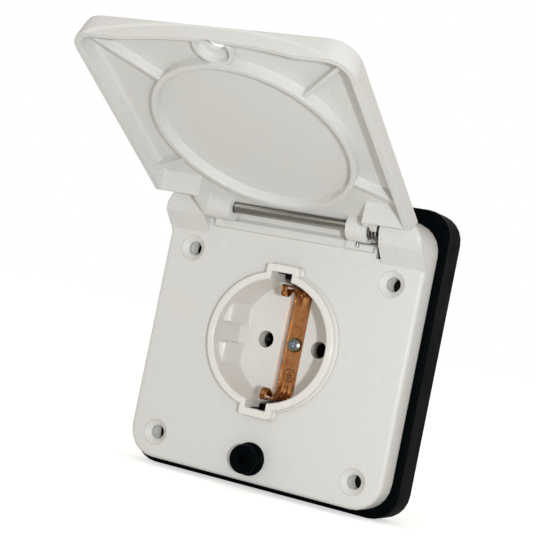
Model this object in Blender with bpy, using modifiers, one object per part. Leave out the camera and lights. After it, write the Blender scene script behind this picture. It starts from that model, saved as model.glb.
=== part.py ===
"""Flush-mounted outdoor mains socket with a sprung lid, for the side wall of a caravan.

Frame: metres, X to the right, Z up, the front looks along -Y. The origin lies in the wall
plane, which is the back of the rubber gasket, on the axis of the round plug well. The lid
stands open, as it does when its springs hold it.
"""
import math

import bmesh
import bpy
from mathutils import Matrix, Vector

# Clearances
GAP = 0.0003
CUT = 0.004
WELD = 0.000001

# Gasket and plate
GASKET_DEPTH = 0.0112
GASKET_SIDE_LIP = 0.0025
GASKET_TOP_LIP = 0.0047
GASKET_BOTTOM_LIP = 0.0023
GASKET_CORNER = 0.0087
GASKET_WEB = 0.0040
GASKET_WALL = 0.0052
GASKET_EDGE = 0.0011
PLATE_WIDTH = 0.0890
PLATE_HEIGHT = 0.0890
PLATE_DEPTH = 0.0085
PLATE_CORNER = 0.0093
PLATE_EDGE = 0.0015
PLATE_PANEL = 0.0024
PLATE_WALL = 0.0022

# Mounting screw holes, which have empty countersinks
SCREW_FROM_SIDE = 0.0095
SCREW_BELOW_AXIS = 0.01475
SCREW_FROM_BOTTOM = 0.00825
SCREW_HOLE_R = 0.0023
SCREW_SINK_R = 0.0041
SCREW_SINK_DEPTH = 0.0016
SCREW_BOSS_R = 0.0048
SCREW_BOSS_DEPTH = 0.0032

# Plug well
WELL_R = 0.0193
WELL_WALL = 0.0024
WELL_DEPTH = 0.0175
WELL_RIM_HEIGHT = 0.0037
WELL_FLOOR = 0.0046
WELL_COVE = 0.0003
WELL_LIP = 0.0004
WELL_SKIRT = 0.0005
FLANGE_WIDTH = 0.0045
FLANGE_OPEN_HALF = 0.0100
EAR_HALF_WIDTH = 0.0055
EAR_HEIGHT = 0.0021
EAR_DEPTH = 0.0048
EAR_CORNER = 0.0009
NOTCH_HALF_WIDTH = 0.0036
NOTCH_EDGE = 0.0022
NOTCH_WINDOW_HALF = 0.0065
NOTCH_WINDOW_DEPTH = 0.0102
NOTCH_WINDOW_WALL = 0.0009
PIN_PITCH = 0.0190
PIN_HOLE_R = 0.00275
GROOVE_HALF_WIDTH = 0.00385
GROOVE_DEPTH = 0.0032
GROOVE_END = 0.0005
GUIDE_HEIGHT = 0.0026
GUIDE_START = 0.0031
GUIDE_LENGTH = 0.0068
GUIDE_TOP = 0.0042
GUIDE_EDGE = 0.0011

# Earth strap
STRAP_WIDTH = 0.0068
STRAP_TONGUE = 0.0020
STRAP_THICKNESS = 0.0006
STRAP_BEND_R = 0.0040
STRAP_SHOULDER = 0.0046
STRAP_NOSE_R = 0.0010
STRAP_NOSE_DEPTH = 0.0012
STRAP_NOSE_DEG = 207.0
STRAP_ELBOW_R = 0.0014
STRAP_ELBOW_DEPTH = 0.00205
STRAP_ELBOW_REACH = 0.0032
STRAP_ELBOW_DEG = 305.0
STRAP_TIP_DEPTH = 0.0056
STRAP_TIP_GAP = 0.0010
STRAP_FROM_WELL = 0.0013
EARTH_SCREW_HEAD_R = 0.00235
EARTH_SCREW_HEAD = 0.0011
EARTH_SCREW_R = 0.0013
EARTH_SCREW_BITE = 0.0030

# Hinge; places across are measured from the plate's side or the towers' inner faces, and
# places up from the plate's top or the hinge axis
AXIS_FROM_FACE = 0.00473
AXIS_FROM_TOP = 0.0055
ROD_R = 0.0016
ROD_END_ROUND = 0.0003
ROD_END_INSET = 0.0040
TOWER_WIDTH = 0.0141
TOWER_HEIGHT = 0.0072
TOWER_FOOT_BELOW = 0.0092
TOWER_SHOULDER_BELOW = 0.0043
TOWER_SHOULDER_HEIGHT = 0.0053
TOWER_CREST_ABOVE = 0.0010
TOWER_EDGE = 0.0020
TOWER_ROOT = 0.00195
DIMPLE_SIZE = (0.0004, 0.0008, 0.0016)
DIMPLE_FROM_SIDE = 0.00115
DIMPLE_HEIGHT = 0.0067
DIMPLE_BELOW_AXIS = 0.0003
SILL_FOOT_BELOW = 0.0067
SILL_HEIGHT = 0.0012
SILL_FROM_TOWER = 0.0028
SILL_BLOCK_HEIGHT = 0.0022
SILL_BLOCK_LEFT = 0.0024
SILL_BLOCK_RIGHT = 0.0092
SILL_SLOT_WIDTH = 0.0018
SILL_SLOT_LENGTH = 0.0036
KNUCKLE_R = 0.0042
KNUCKLE_LENGTH = 0.0098
KNUCKLE_LEFT_GAP = 0.0005
KNUCKLE_RIGHT_GAP = 0.0035
SPRING_WIRE_R = 0.0004
SPRING_MEAN_R = 0.00235
SPRING_PITCH = 0.00110
SPRING_TURNS = 4.5
SPRING_BORE_R = 0.0031
SPRING_TAIL = 0.0016
SPRING_HOOK_INSET = 0.0053
SPRING_HOOK_LENGTH = 0.0012
SPRING_LEG_BELOW = 0.0039

# Lid, measured from the hinge axis with the lid shut
LID_OPEN_DEG = 118.4
LID_SIDE_INSET = 0.0009
LID_END_INSET = 0.0014
LID_SIDE_DRAFT = 0.0008
LID_RIM = 0.0044
LID_OUTSIDE = 0.0023
LID_PANEL = 0.0011
LID_WALL = 0.0021
LID_FLOOR_FILLET = 0.0018
LID_CORNER = 0.0080
LID_EDGE = 0.0008
LID_HEEL = 0.00375
LID_END_AT_RIM = 0.0098
LID_END_AT_OUTSIDE = 0.0053
LID_END_WEDGE = 0.0130
WEDGE_FROM_TOWER = 0.0024
WEB_CLEARANCE = 0.0005
LID_RING_BELOW = 0.0071
LID_RING_WALL = 0.0016
LID_RING_HEIGHT = 0.0032
LID_RIB = 0.0012
LID_RIB_HEIGHT = 0.0027
LID_RIB_UP_DEG = 43.8
LID_RIB_DOWN_DEG = -27.5
SCOOP_FROM_SIDE = 0.0166
SCOOP_DEPTH = 0.0032
SCOOP_DEG = 60.3
BOSS_R = 0.0060
BOSS_LIP = 0.0024
BOSS_BORE_R = 0.00495
BOSS_HOLE_R = 0.0026

# Latch knob
KNOB_SHARE = 0.836
KNOB_FLANGE_R = 0.0052
KNOB_HEAD_R = 0.0046
KNOB_WAIST_R = 0.0037
KNOB_HEIGHT = 0.0056
KNOB_HEAD_UNDER = 0.0034
KNOB_FLANGE = 0.0011
KNOB_SOFT = 0.0006
KNOB_HOLE_R = 0.00145
KNOB_STEM_R = 0.0021
KNOB_BARB_R = 0.0030

# Rear body
CARRIER_DEPTH = 0.0105
CARRIER_RIM = 0.0035
CARRIER_INSET = 0.0027
CARRIER_SCREW_INSET = 0.0050
CONTACT_R = 0.0036
CONTACT_BORE_R = 0.00285
CONTACT_SET_BACK = 0.0025
CONTACT_DEPTH = 0.0080
CONTACT_BASE = 0.0022
CONTACT_SLIT = 0.0008
CONTACT_TO_SCREW = 0.0010
EARTH_BLOCK = 0.0070
EARTH_BLOCK_NARROW = 0.7
TERMINAL_SCREW_R = 0.0016
TERMINAL_HEAD_R = 0.0026
TERMINAL_HEAD = 0.0013
TERMINAL_BITE = 0.0018
EARTH_TERMINAL_BITE = 0.0028
COVER_WALL = 0.0016
COVER_ROOM = 0.0105
COVER_EDGE = 0.0020
COVER_SPARE = 0.0025
COVER_SCREW_R = 0.0014
COVER_SCREW_HEAD_R = 0.0026
COVER_SCREW_HEAD = 0.0014
COVER_SCREW_BITE = 0.0050
COVER_THREAD = 0.0060
THREAD_DEPTH = 0.0010
GROMMET_BELOW = 0.0095
GROMMET_R = 0.0056
GROMMET_NECK_R = 0.0044
GROMMET_BORE_R = 0.0028
GROMMET_LIP = 0.0016

# Screw heads, as shares of the head's own size
CROSS_REACH = 0.55
CROSS_WIDTH = 0.16
CROSS_DEPTH = 0.5
HEAD_DOME = 0.35

# Facet counts
ROUND = 48
LID_ROUND = 32
SCOOP_ROUND = 300
KNOB_ROUND = 28
REAR_ROUND = 24
SMALL_ROUND = 20
SCREW_ROUND = 16
CORNER_STEPS = 6
COIL_STEPS = 10

# Places that follow from the sizes: depths, along Y
FACE = -(GASKET_DEPTH + PLATE_DEPTH)
RIM = FACE - WELL_RIM_HEIGHT
FLOOR = RIM + WELL_DEPTH
CUP_BACK = FLOOR + WELL_FLOOR
GROOVE_FLOOR = FLOOR + GROOVE_DEPTH
FLANGE_FRONT = FACE + PLATE_PANEL + GAP
FLANGE_BACK = FACE + PLATE_DEPTH - GAP
SKIRT_BACK = FACE - GAP
EAR_BACK = RIM + EAR_DEPTH
AXIS_Y = FACE - AXIS_FROM_FACE
LEG_Y = FACE - SILL_BLOCK_HEIGHT + SPRING_WIRE_R / 2
CARRIER_FRONT = CUP_BACK + GAP
CARRIER_BACK = CARRIER_FRONT + CARRIER_DEPTH
COVER_BACK = CARRIER_BACK + COVER_ROOM

# Places that follow from the sizes: across the plate and up it
PLATE_X = PLATE_WIDTH / 2
PLATE_Z = PLATE_HEIGHT / 2
CUP_R = WELL_R + WELL_WALL
FLANGE_R = CUP_R + FLANGE_WIDTH
EAR_REACH = CUP_R + EAR_HEIGHT
NOTCH_REACH = EAR_REACH - NOTCH_EDGE
GUIDE_INNER = WELL_R - GUIDE_HEIGHT
STRAP_LEG_Z = WELL_R - STRAP_FROM_WELL
AXIS_HEIGHT = PLATE_Z - AXIS_FROM_TOP
ROD_END = PLATE_X - ROD_END_INSET
TOWER_INNER = PLATE_X - TOWER_WIDTH
TOWER_FOOT = AXIS_HEIGHT - TOWER_FOOT_BELOW
TOWER_SHOULDER = AXIS_HEIGHT - TOWER_SHOULDER_BELOW
TOWER_CREST = AXIS_HEIGHT + TOWER_CREST_ABOVE
SILL_FOOT = AXIS_HEIGHT - SILL_FOOT_BELOW
SILL_END = TOWER_INNER - SILL_FROM_TOWER
KNUCKLE_CLEAR = KNUCKLE_R + 2 * GAP
SILL_ROOM = math.sqrt(KNUCKLE_CLEAR**2 - (AXIS_FROM_FACE - SILL_BLOCK_HEIGHT) ** 2)
SILL_TOP = AXIS_HEIGHT - SILL_ROOM
KNUCKLE_OUTER_LEFT = TOWER_INNER - KNUCKLE_LEFT_GAP
KNUCKLE_OUTER_RIGHT = TOWER_INNER - KNUCKLE_RIGHT_GAP
KNUCKLE_INNER = KNUCKLE_OUTER_LEFT - KNUCKLE_LENGTH
WEDGE_INNER = TOWER_INNER - WEDGE_FROM_TOWER
SPRING_HOOK_X = SILL_END - SPRING_HOOK_INSET
SPRING_LEG_Z = AXIS_HEIGHT - SPRING_LEG_BELOW
SPRING_HOOK_Z = SPRING_LEG_Z - SPRING_HOOK_LENGTH
SPRING_COIL_OUTER = TOWER_INNER - GAP - SPRING_WIRE_R
SPRING_COIL_INNER = SPRING_COIL_OUTER - SPRING_PITCH * SPRING_TURNS
SPRING_ROOM = SPRING_WIRE_R + GAP
LID_HALF_WIDTH = PLATE_X - LID_SIDE_INSET
LID_LENGTH = AXIS_HEIGHT + PLATE_Z - LID_END_INSET
LID_RING_R = AXIS_HEIGHT - LID_RING_BELOW
SCOOP_HALF_LENGTH = LID_HALF_WIDTH - SCOOP_FROM_SIDE
KNOB_Z = -PLATE_Z * KNOB_SHARE
COVER_SCREW_X = PIN_PITCH / 2 + CONTACT_R + CONTACT_TO_SCREW + COVER_SCREW_R
CARRIER_R = max(CUP_R - CARRIER_INSET, COVER_SCREW_X + CARRIER_RIM)
CARRIER_SCREW_Z = CARRIER_R - CARRIER_SCREW_INSET
COVER_R = CARRIER_R + COVER_SPARE
SCREW_PLACES = [
    (side * (PLATE_X - SCREW_FROM_SIDE), level)
    for side in (-1, 1)
    for level in (SCREW_FROM_BOTTOM - PLATE_Z, AXIS_HEIGHT - SCREW_BELOW_AXIS)
]

PARTS = bpy.data.collections.new("outdoor_socket")
CUTTERS = bpy.data.collections.new("cutters")


def clear_scene():
    """Remove what the scene holds and link this model's two collections."""
    for old in list(bpy.data.objects):
        bpy.data.objects.remove(old)
    for group in (PARTS, CUTTERS):
        bpy.context.scene.collection.children.link(group)


def material(name, colour, roughness, metallic=0.0):
    """Give a plain Principled material."""
    made = bpy.data.materials.new(name)
    made.use_nodes = True
    shader = made.node_tree.nodes["Principled BSDF"]
    shader.inputs["Base Color"].default_value = (*colour, 1.0)
    shader.inputs["Roughness"].default_value = roughness
    shader.inputs["Metallic"].default_value = metallic
    return made


def object_from(name, bm):
    """Turn a bmesh into an object that waits among the cutters until it is a part."""
    mesh = bpy.data.meshes.new(name)
    bm.to_mesh(mesh)
    bm.free()
    made = bpy.data.objects.new(name, mesh)
    CUTTERS.objects.link(made)
    made.display_type = "WIRE"
    made.hide_render = True
    return made


def finish(piece, finish_material, smooth_deg=35.0):
    """Move a piece from the cutters to the parts, and give it its finish."""
    CUTTERS.objects.unlink(piece)
    PARTS.objects.link(piece)
    piece.display_type = "TEXTURED"
    piece.hide_render = False
    piece.data.materials.clear()
    piece.data.materials.append(finish_material)
    piece.data.shade_smooth()
    piece.data.set_sharp_from_angle(angle=math.radians(smooth_deg))
    return piece


def evaluated_mesh(source):
    """Give the mesh of an object as its modifiers leave it."""
    graph = bpy.context.evaluated_depsgraph_get()
    graph.update()
    return bpy.data.meshes.new_from_object(source.evaluated_get(graph))


def bake(piece):
    """Replace an object's mesh with what its modifiers make of it."""
    mesh = evaluated_mesh(piece)
    piece.modifiers.clear()
    piece.data = mesh


def combine(piece, tools, operation):
    """Join tools to a piece, cut them from it or keep what they share, and use them up."""
    for tool in tools:
        boolean = piece.modifiers.new(operation.title(), "BOOLEAN")
        boolean.operation = operation
        boolean.solver = "EXACT"
        boolean.object = tool
    bake(piece)
    for tool in tools:
        bpy.data.objects.remove(tool)
    return piece


def parallel_edges(bm, axis):
    """List the edges that run along one axis."""
    found = []
    for edge in bm.edges:
        run = edge.verts[1].co - edge.verts[0].co
        if abs(run.normalized()[axis]) > 0.999:
            found.append(edge)
    return found


def edges_at(bm, axis, level):
    """List the edges that lie in the plane at one level of an axis."""
    near = 0.00001
    return [e for e in bm.edges if all(abs(v.co[axis] - level) < near for v in e.verts)]


def round_over(bm, edges, radius, steps):
    """Bevel edges to a round."""
    bmesh.ops.bevel(
        bm,
        geom=edges,
        offset=radius,
        offset_type="OFFSET",
        segments=steps,
        profile=0.5,
        affect="EDGES",
        clamp_overlap=True,
        material=-1,
    )


def box(name, low, high):
    """Make a box from its lowest and highest corners."""
    bm = bmesh.new()
    size = Vector(high) - Vector(low)
    middle = (Vector(high) + Vector(low)) / 2
    place = Matrix.Translation(middle) @ Matrix.Diagonal((*size, 1.0))
    bmesh.ops.create_cube(bm, size=1.0, matrix=place)
    return object_from(name, bm)


def rounded_box(name, low, high, corner, front=0.0, steps=CORNER_STEPS, front_steps=3):
    """Make a box with round corners about Y, where asked, and round edges at its front."""
    bm = bmesh.new()
    size = Vector(high) - Vector(low)
    middle = (Vector(high) + Vector(low)) / 2
    place = Matrix.Translation(middle) @ Matrix.Diagonal((*size, 1.0))
    bmesh.ops.create_cube(bm, size=1.0, matrix=place)
    if corner:
        round_over(bm, parallel_edges(bm, 1), corner, steps)
    if front:
        round_over(bm, edges_at(bm, 1, low[1]), front, front_steps)
    return object_from(name, bm)


def turned(name, profile, place, steps=ROUND, towards=(0, -1, 0)):
    """Turn a profile of (radius, height) points; heights run along one direction."""
    bm = bmesh.new()
    spots = [bm.verts.new((radius, 0.0, height)) for radius, height in profile]
    for first, second in zip(spots, spots[1:]):
        bm.edges.new((first, second))
    if profile[0][0] > WELD and profile[-1][0] > WELD:
        bm.edges.new((spots[-1], spots[0]))
    made = object_from(name, bm)
    screw = made.modifiers.new("Turn", "SCREW")
    screw.axis = "Z"
    screw.steps = steps
    screw.render_steps = steps
    screw.use_merge_vertices = True
    screw.merge_threshold = WELD
    bake(made)
    aim = Vector((0, 0, 1)).rotation_difference(Vector(towards)).to_matrix().to_4x4()
    made.data.transform(Matrix.Translation(place) @ aim)
    return made


def rod(name, radius, start, end, steps=SMALL_ROUND):
    """Make a cylinder from one point to another."""
    bm = bmesh.new()
    run = Vector(end) - Vector(start)
    aim = Vector((0, 0, 1)).rotation_difference(run).to_matrix().to_4x4()
    place = Matrix.Translation((Vector(start) + Vector(end)) / 2) @ aim
    bmesh.ops.create_cone(
        bm,
        cap_ends=True,
        segments=steps,
        radius1=radius,
        radius2=radius,
        depth=run.length,
        matrix=place,
    )
    return object_from(name, bm)


def curve_mesh(name, curve, place):
    """Make a curve object a mesh with welded caps, in its place."""
    holder = bpy.data.objects.new(name, curve)
    CUTTERS.objects.link(holder)
    mesh = evaluated_mesh(holder)
    bpy.data.objects.remove(holder)
    bm = bmesh.new()
    bm.from_mesh(mesh)
    bmesh.ops.remove_doubles(bm, verts=bm.verts, dist=WELD)
    bmesh.ops.recalc_face_normals(bm, faces=bm.faces)
    bmesh.ops.transform(bm, matrix=place, verts=bm.verts)
    return object_from(name, bm)


def prism(name, outline, x_low, x_high):
    """Extrude an outline of (y, z) points along X."""
    curve = bpy.data.curves.new(name, "CURVE")
    curve.dimensions = "2D"
    curve.fill_mode = "BOTH"
    curve.extrude = (x_high - x_low) / 2
    spline = curve.splines.new("POLY")
    spline.points.add(len(outline) - 1)
    for point, (y, z) in zip(spline.points, outline):
        point.co = (y, z, 0.0, 1.0)
    spline.use_cyclic_u = True
    turn = Matrix(((0, 0, 1, 0), (1, 0, 0, 0), (0, 1, 0, 0), (0, 0, 0, 1)))
    return curve_mesh(name, curve, Matrix.Translation(((x_low + x_high) / 2, 0, 0)) @ turn)


def wire(name, points, radius):
    """Make a round wire along a list of points, with filled ends."""
    curve = bpy.data.curves.new(name, "CURVE")
    curve.dimensions = "3D"
    curve.bevel_depth = radius
    curve.bevel_resolution = 2
    curve.use_fill_caps = True
    spline = curve.splines.new("POLY")
    spline.points.add(len(points) - 1)
    for point, spot in zip(spline.points, points):
        point.co = (*spot, 1.0)
    return curve_mesh(name, curve, Matrix.Identity(4))


def arc(centre, radius, start_deg, end_deg, steps):
    """List points on an arc about a centre, as pairs."""
    turn = [start_deg + (end_deg - start_deg) * i / steps for i in range(steps + 1)]
    return [
        (
            centre[0] + radius * math.cos(math.radians(a)),
            centre[1] + radius * math.sin(math.radians(a)),
        )
        for a in turn
    ]


def build_gasket(rubber):
    """The rubber frame between plate and wall, open behind the plate to save rubber."""
    low = (-PLATE_X - GASKET_SIDE_LIP, FACE + PLATE_DEPTH, -PLATE_Z - GASKET_BOTTOM_LIP)
    high = (PLATE_X + GASKET_SIDE_LIP, 0.0, PLATE_Z + GASKET_TOP_LIP)
    corner = GASKET_CORNER
    gasket = rounded_box("gasket", low, high, corner, front=GASKET_EDGE)
    collars = []
    collar_front = FACE + SCREW_BOSS_DEPTH + GAP
    collar_back = -GASKET_WEB / 2
    for x, z in SCREW_PLACES:
        collars.append(rod("collar", SCREW_BOSS_R, (x, collar_front, z), (x, collar_back, z)))
    wall = Vector((GASKET_WALL, 0, GASKET_WALL))
    pocket_low = Vector(low) + wall - Vector((0, CUT, 0))
    pocket_high = Vector(high) - wall - Vector((0, GASKET_WEB, 0))
    pocket = rounded_box("gasket_pocket", pocket_low, pocket_high, corner - GASKET_WALL, steps=3)
    front = low[1] - 2 * CUT
    keep = rod("well_collar", FLANGE_R, (0, front, 0), (0, 0, 0), ROUND)
    combine(pocket, [keep], "DIFFERENCE")
    combine(gasket, [pocket], "DIFFERENCE")
    combine(gasket, collars, "UNION")
    window_r = max(CUP_R, COVER_R) + GAP
    window = rod("window", window_r, (0, front, 0), (0, CUT, 0), ROUND)
    holes = [
        rod("screw_hole", SCREW_HOLE_R, (x, FACE, z), (x, CUT, z)) for x, z in SCREW_PLACES
    ]
    combine(gasket, [window] + holes, "DIFFERENCE")
    return finish(gasket, rubber)


def tower_outline():
    """The side view of a hinge tower: a ramp, a rounded shoulder and a crest."""
    root = FACE + TOWER_ROOT
    top = PLATE_Z + CUT
    shoulder = (FACE - TOWER_SHOULDER_HEIGHT, TOWER_SHOULDER)
    crest = (FACE - TOWER_HEIGHT, TOWER_CREST)
    points = [(root, TOWER_FOOT - TOWER_ROOT), (FACE, TOWER_FOOT)]
    steps = 5
    for i in range(steps + 1):
        share = i / steps
        bulge = math.sin(share * math.pi / 2)
        y = shoulder[0] + (crest[0] - shoulder[0]) * bulge
        points.append((y, shoulder[1] + (crest[1] - shoulder[1]) * share))
    return points + [(crest[0] - CUT, top), (root, top)]


def sill_outline(height):
    """The side view of the sill below the knuckles, at one height from the face."""
    root = FACE + PLATE_PANEL / 2
    edge = SILL_HEIGHT * 0.4
    return [
        (root, SILL_FOOT),
        (FACE, SILL_FOOT),
        (FACE - height + edge, SILL_FOOT + edge / 2),
        (FACE - height, SILL_FOOT + edge),
        (FACE - height, SILL_TOP),
        (FACE, SILL_TOP + height),
        (root, SILL_TOP + height),
    ]


def build_towers():
    """Both hinge towers, rounded to the plate's own outline."""
    towers = []
    for hand in (-1, 1):
        ends = sorted((hand * TOWER_INNER, hand * (PLATE_X + CUT)))
        tower = prism("tower", tower_outline(), *ends)
        shape = rounded_box(
            "tower_shape",
            (-PLATE_X, FACE - TOWER_HEIGHT, -PLATE_Z),
            (PLATE_X, FACE + PLATE_DEPTH, PLATE_Z),
            PLATE_CORNER,
            front=TOWER_EDGE,
        )
        towers.append(combine(tower, [shape], "INTERSECT"))
    return towers


def corner_dimple():
    """An oval dimple in the right tower's rounded corner, beside the end of the rod."""
    bm = bmesh.new()
    place = (PLATE_X - DIMPLE_FROM_SIDE, FACE - DIMPLE_HEIGHT, AXIS_HEIGHT - DIMPLE_BELOW_AXIS)
    turn = Matrix.Rotation(math.radians(-45), 4, "Z")
    shape = Matrix.Translation(place) @ turn @ Matrix.Diagonal((*DIMPLE_SIZE, 1.0))
    bmesh.ops.create_uvsphere(
        bm, u_segments=SMALL_ROUND, v_segments=CORNER_STEPS, radius=1.0, matrix=shape
    )
    return object_from("corner_dimple", bm)


def spring_channels():
    """Cuts for the springs' fixed ends: a groove in the sill and a hole in the left tower."""
    room = SPRING_ROOM
    front = FACE - SILL_BLOCK_HEIGHT - CUT
    groove = box(
        "leg_channel",
        (SPRING_HOOK_X - room, front, SPRING_LEG_Z - room),
        (SILL_END + CUT / 2, LEG_Y + room, SPRING_LEG_Z + CUT),
    )
    hook = box(
        "hook_channel",
        (SPRING_HOOK_X - room, front, SPRING_HOOK_Z - room),
        (SPRING_HOOK_X + room, LEG_Y + room, SPRING_LEG_Z),
    )
    y = AXIS_Y + SPRING_MEAN_R
    tail_end = -SPRING_COIL_OUTER - SPRING_TAIL - GAP
    hole = rod("tail_hole", room, (-KNUCKLE_INNER, y, AXIS_HEIGHT), (tail_end, y, AXIS_HEIGHT))
    return [groove, hook, hole]


def build_plate(plastic):
    """The white face plate: panel, side walls, hinge towers, sill and screw bosses."""
    plate = rounded_box(
        "base_plate",
        (-PLATE_X, FACE, -PLATE_Z),
        (PLATE_X, FACE + PLATE_DEPTH, PLATE_Z),
        PLATE_CORNER,
        front=PLATE_EDGE,
    )
    block = sill_outline(SILL_BLOCK_HEIGHT)
    sill = [
        prism("sill", sill_outline(SILL_HEIGHT), CUT / 4 - SILL_END, SILL_END - CUT / 4),
        prism("sill_block", block, -SILL_END, SILL_BLOCK_LEFT - SILL_END),
        prism("sill_block", block, SILL_END - SILL_BLOCK_RIGHT, SILL_END),
    ]
    combine(plate, build_towers() + sill, "UNION")

    back = FACE + PLATE_DEPTH + CUT
    pocket = rounded_box(
        "plate_pocket",
        (-PLATE_X + PLATE_WALL, FACE + PLATE_PANEL, -PLATE_Z + PLATE_WALL),
        (PLATE_X - PLATE_WALL, back, PLATE_Z - PLATE_WALL),
        PLATE_CORNER - PLATE_WALL,
    )
    boss_end = FACE + SCREW_BOSS_DEPTH
    bosses = [rod("boss", SCREW_BOSS_R, (x, FACE, z), (x, boss_end, z)) for x, z in SCREW_PLACES]
    combine(pocket, bosses, "DIFFERENCE")

    clear = GAP
    front = FACE - CUT
    opening = rod("well_opening", CUP_R + clear, (0, front, 0), (0, back, 0), ROUND)
    ears = rounded_box(
        "ear_opening",
        (-EAR_HALF_WIDTH - clear, front, -EAR_REACH - clear),
        (EAR_HALF_WIDTH + clear, back, EAR_REACH + clear),
        EAR_CORNER + clear,
        steps=3,
    )
    slot = box(
        "sill_slot",
        (TOWER_INNER - GAP - SILL_SLOT_WIDTH, front, SILL_FOOT - PLATE_PANEL / 2),
        (TOWER_INNER - GAP, back, SILL_FOOT - PLATE_PANEL / 2 + SILL_SLOT_LENGTH),
    )
    cuts = [pocket, opening, ears, slot, corner_dimple()] + spring_channels()
    for x, z in SCREW_PLACES:
        sink = [
            (0.0, CUT),
            (SCREW_SINK_R, CUT),
            (SCREW_SINK_R, 0.0),
            (SCREW_HOLE_R, -SCREW_SINK_DEPTH),
            (SCREW_HOLE_R, FACE - back),
            (0.0, FACE - back),
        ]
        cuts.append(turned("screw_sink", sink, (x, FACE, z), SMALL_ROUND))
    cuts.append(rod("knob_hole", KNOB_STEM_R + clear, (0, front, KNOB_Z), (0, back, KNOB_Z)))
    bore = ROD_END + GAP
    cuts.append(
        rod("rod_bore", ROD_R + clear, (-bore, AXIS_Y, AXIS_HEIGHT), (bore, AXIS_Y, AXIS_HEIGHT))
    )
    combine(plate, cuts, "DIFFERENCE")
    return finish(plate, plastic)


def cup_profile():
    """The plug well and its flange, from the floor's centre out and round to the back."""
    rim, floor = -RIM, -FLOOR
    cove = arc((WELL_R - WELL_COVE, floor + WELL_COVE), WELL_COVE, -90, 0, 2)
    lip = WELL_LIP
    skirt = WELL_SKIRT
    thin = skirt / 8
    return (
        [(0.0, floor)]
        + cove
        + [
            (WELL_R, rim - lip),
            (WELL_R + lip, rim),
            (CUP_R - lip, rim),
            (CUP_R, rim - lip),
            (CUP_R, skirt - SKIRT_BACK),
            (CUP_R + skirt, thin - SKIRT_BACK),
            (CUP_R + skirt, -SKIRT_BACK),
            (CUP_R, -SKIRT_BACK),
            (CUP_R, -FLANGE_FRONT),
            (FLANGE_R, -FLANGE_FRONT),
            (FLANGE_R, -FLANGE_BACK),
            (CUP_R, -FLANGE_BACK),
            (CUP_R, -CUP_BACK),
            (0.0, -CUP_BACK),
        ]
    )


def cup_ears():
    """The well's two ears, each with the thin skirt that covers the gap round it."""
    ears = []
    for level in (-1, 1):
        root = level * (WELL_R + WELL_WALL / 2)
        low, high = sorted((root, level * EAR_REACH))
        ears.append(
            rounded_box(
                "ear",
                (-EAR_HALF_WIDTH, RIM, low),
                (EAR_HALF_WIDTH, EAR_BACK, high),
                EAR_CORNER,
                steps=3,
            )
        )
        low, high = sorted((root, level * (EAR_REACH + WELL_SKIRT)))
        ears.append(
            rounded_box(
                "ear_skirt",
                (-EAR_HALF_WIDTH - WELL_SKIRT, SKIRT_BACK - WELL_SKIRT, low),
                (EAR_HALF_WIDTH + WELL_SKIRT, SKIRT_BACK, high),
                EAR_CORNER + WELL_SKIRT,
                front=WELL_SKIRT * 7 / 8,
                steps=3,
                front_steps=1,
            )
        )
    return ears


def cup_guides():
    """Four blocks that stand on the floor along the well's side walls, with beveled tops."""
    guides = []
    for hand in (-1, 1):
        for level in (-1, 1):
            across = sorted((hand * GUIDE_INNER, hand * CUP_R))
            along = sorted((level * GUIDE_START, level * (GUIDE_START + GUIDE_LENGTH)))
            guide = rounded_box(
                "guide",
                (across[0], RIM + GUIDE_TOP, along[0]),
                (across[1], FLOOR + WELL_FLOOR / 2, along[1]),
                0.0,
                front=GUIDE_EDGE,
            )
            start, end = (0, RIM, 0), (0, CUP_BACK, 0)
            inside = rod("guide_shape", WELL_R + WELL_WALL / 2, start, end, ROUND)
            guides.append(combine(guide, [inside], "INTERSECT"))
    return guides


def notch_cuts(level):
    """Cuts of one earth notch, which lies open to the dark space behind the plate."""
    edge = CUP_R + WELL_WALL
    inner = level * (WELL_R - GROOVE_END - CUT)
    front = sorted((inner, level * NOTCH_REACH))
    rear = sorted((inner, level * edge))
    window = sorted((level * (WELL_R + NOTCH_WINDOW_WALL), level * edge))
    flange = sorted((level * (CUP_R - GAP), level * (FLANGE_R + CUT)))
    window_front = RIM + NOTCH_WINDOW_DEPTH
    notch = NOTCH_HALF_WIDTH
    wide = NOTCH_WINDOW_HALF
    gap = FLANGE_OPEN_HALF
    gap_front = FLANGE_FRONT - GAP
    return [
        box("notch", (-notch, RIM - CUT, front[0]), (notch, EAR_BACK + GAP, front[1])),
        box("notch_rear", (-notch, EAR_BACK - GAP, rear[0]), (notch, GROOVE_FLOOR, rear[1])),
        box("notch_window", (-wide, window_front, window[0]), (wide, GROOVE_FLOOR, window[1])),
        box("flange_gap", (-gap, gap_front, flange[0]), (gap, FLANGE_BACK + CUT, flange[1])),
    ]


def build_cup(plastic):
    """The plug well with its ears, earth notches, guide blocks and pin holes."""
    cup = turned("socket_cup", cup_profile(), (0, 0, 0))
    combine(cup, cup_ears() + cup_guides(), "UNION")

    back = CUP_BACK + CUT
    groove_end = WELL_R - GROOVE_END
    cuts = [
        box(
            "groove",
            (-GROOVE_HALF_WIDTH, FLOOR - WELL_COVE, -groove_end),
            (GROOVE_HALF_WIDTH, GROOVE_FLOOR, groove_end),
        )
    ]
    for level in (-1, 1):
        cuts += notch_cuts(level)
    for hand in (-1, 1):
        x = hand * PIN_PITCH / 2
        cuts.append(rod("pin_hole", PIN_HOLE_R, (x, RIM, 0), (x, back, 0)))
    bore = EARTH_SCREW_R + GAP
    cuts.append(rod("earth_bore", bore, (0, RIM, 0), (0, back, 0)))
    for level in (-1, 1):
        z = level * CARRIER_SCREW_Z
        start = CUP_BACK - THREAD_DEPTH
        cuts.append(rod("carrier_thread", COVER_SCREW_R + GAP, (0, start, z), (0, back, z)))
    combine(cup, cuts, "DIFFERENCE")
    return finish(cup, plastic)


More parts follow.
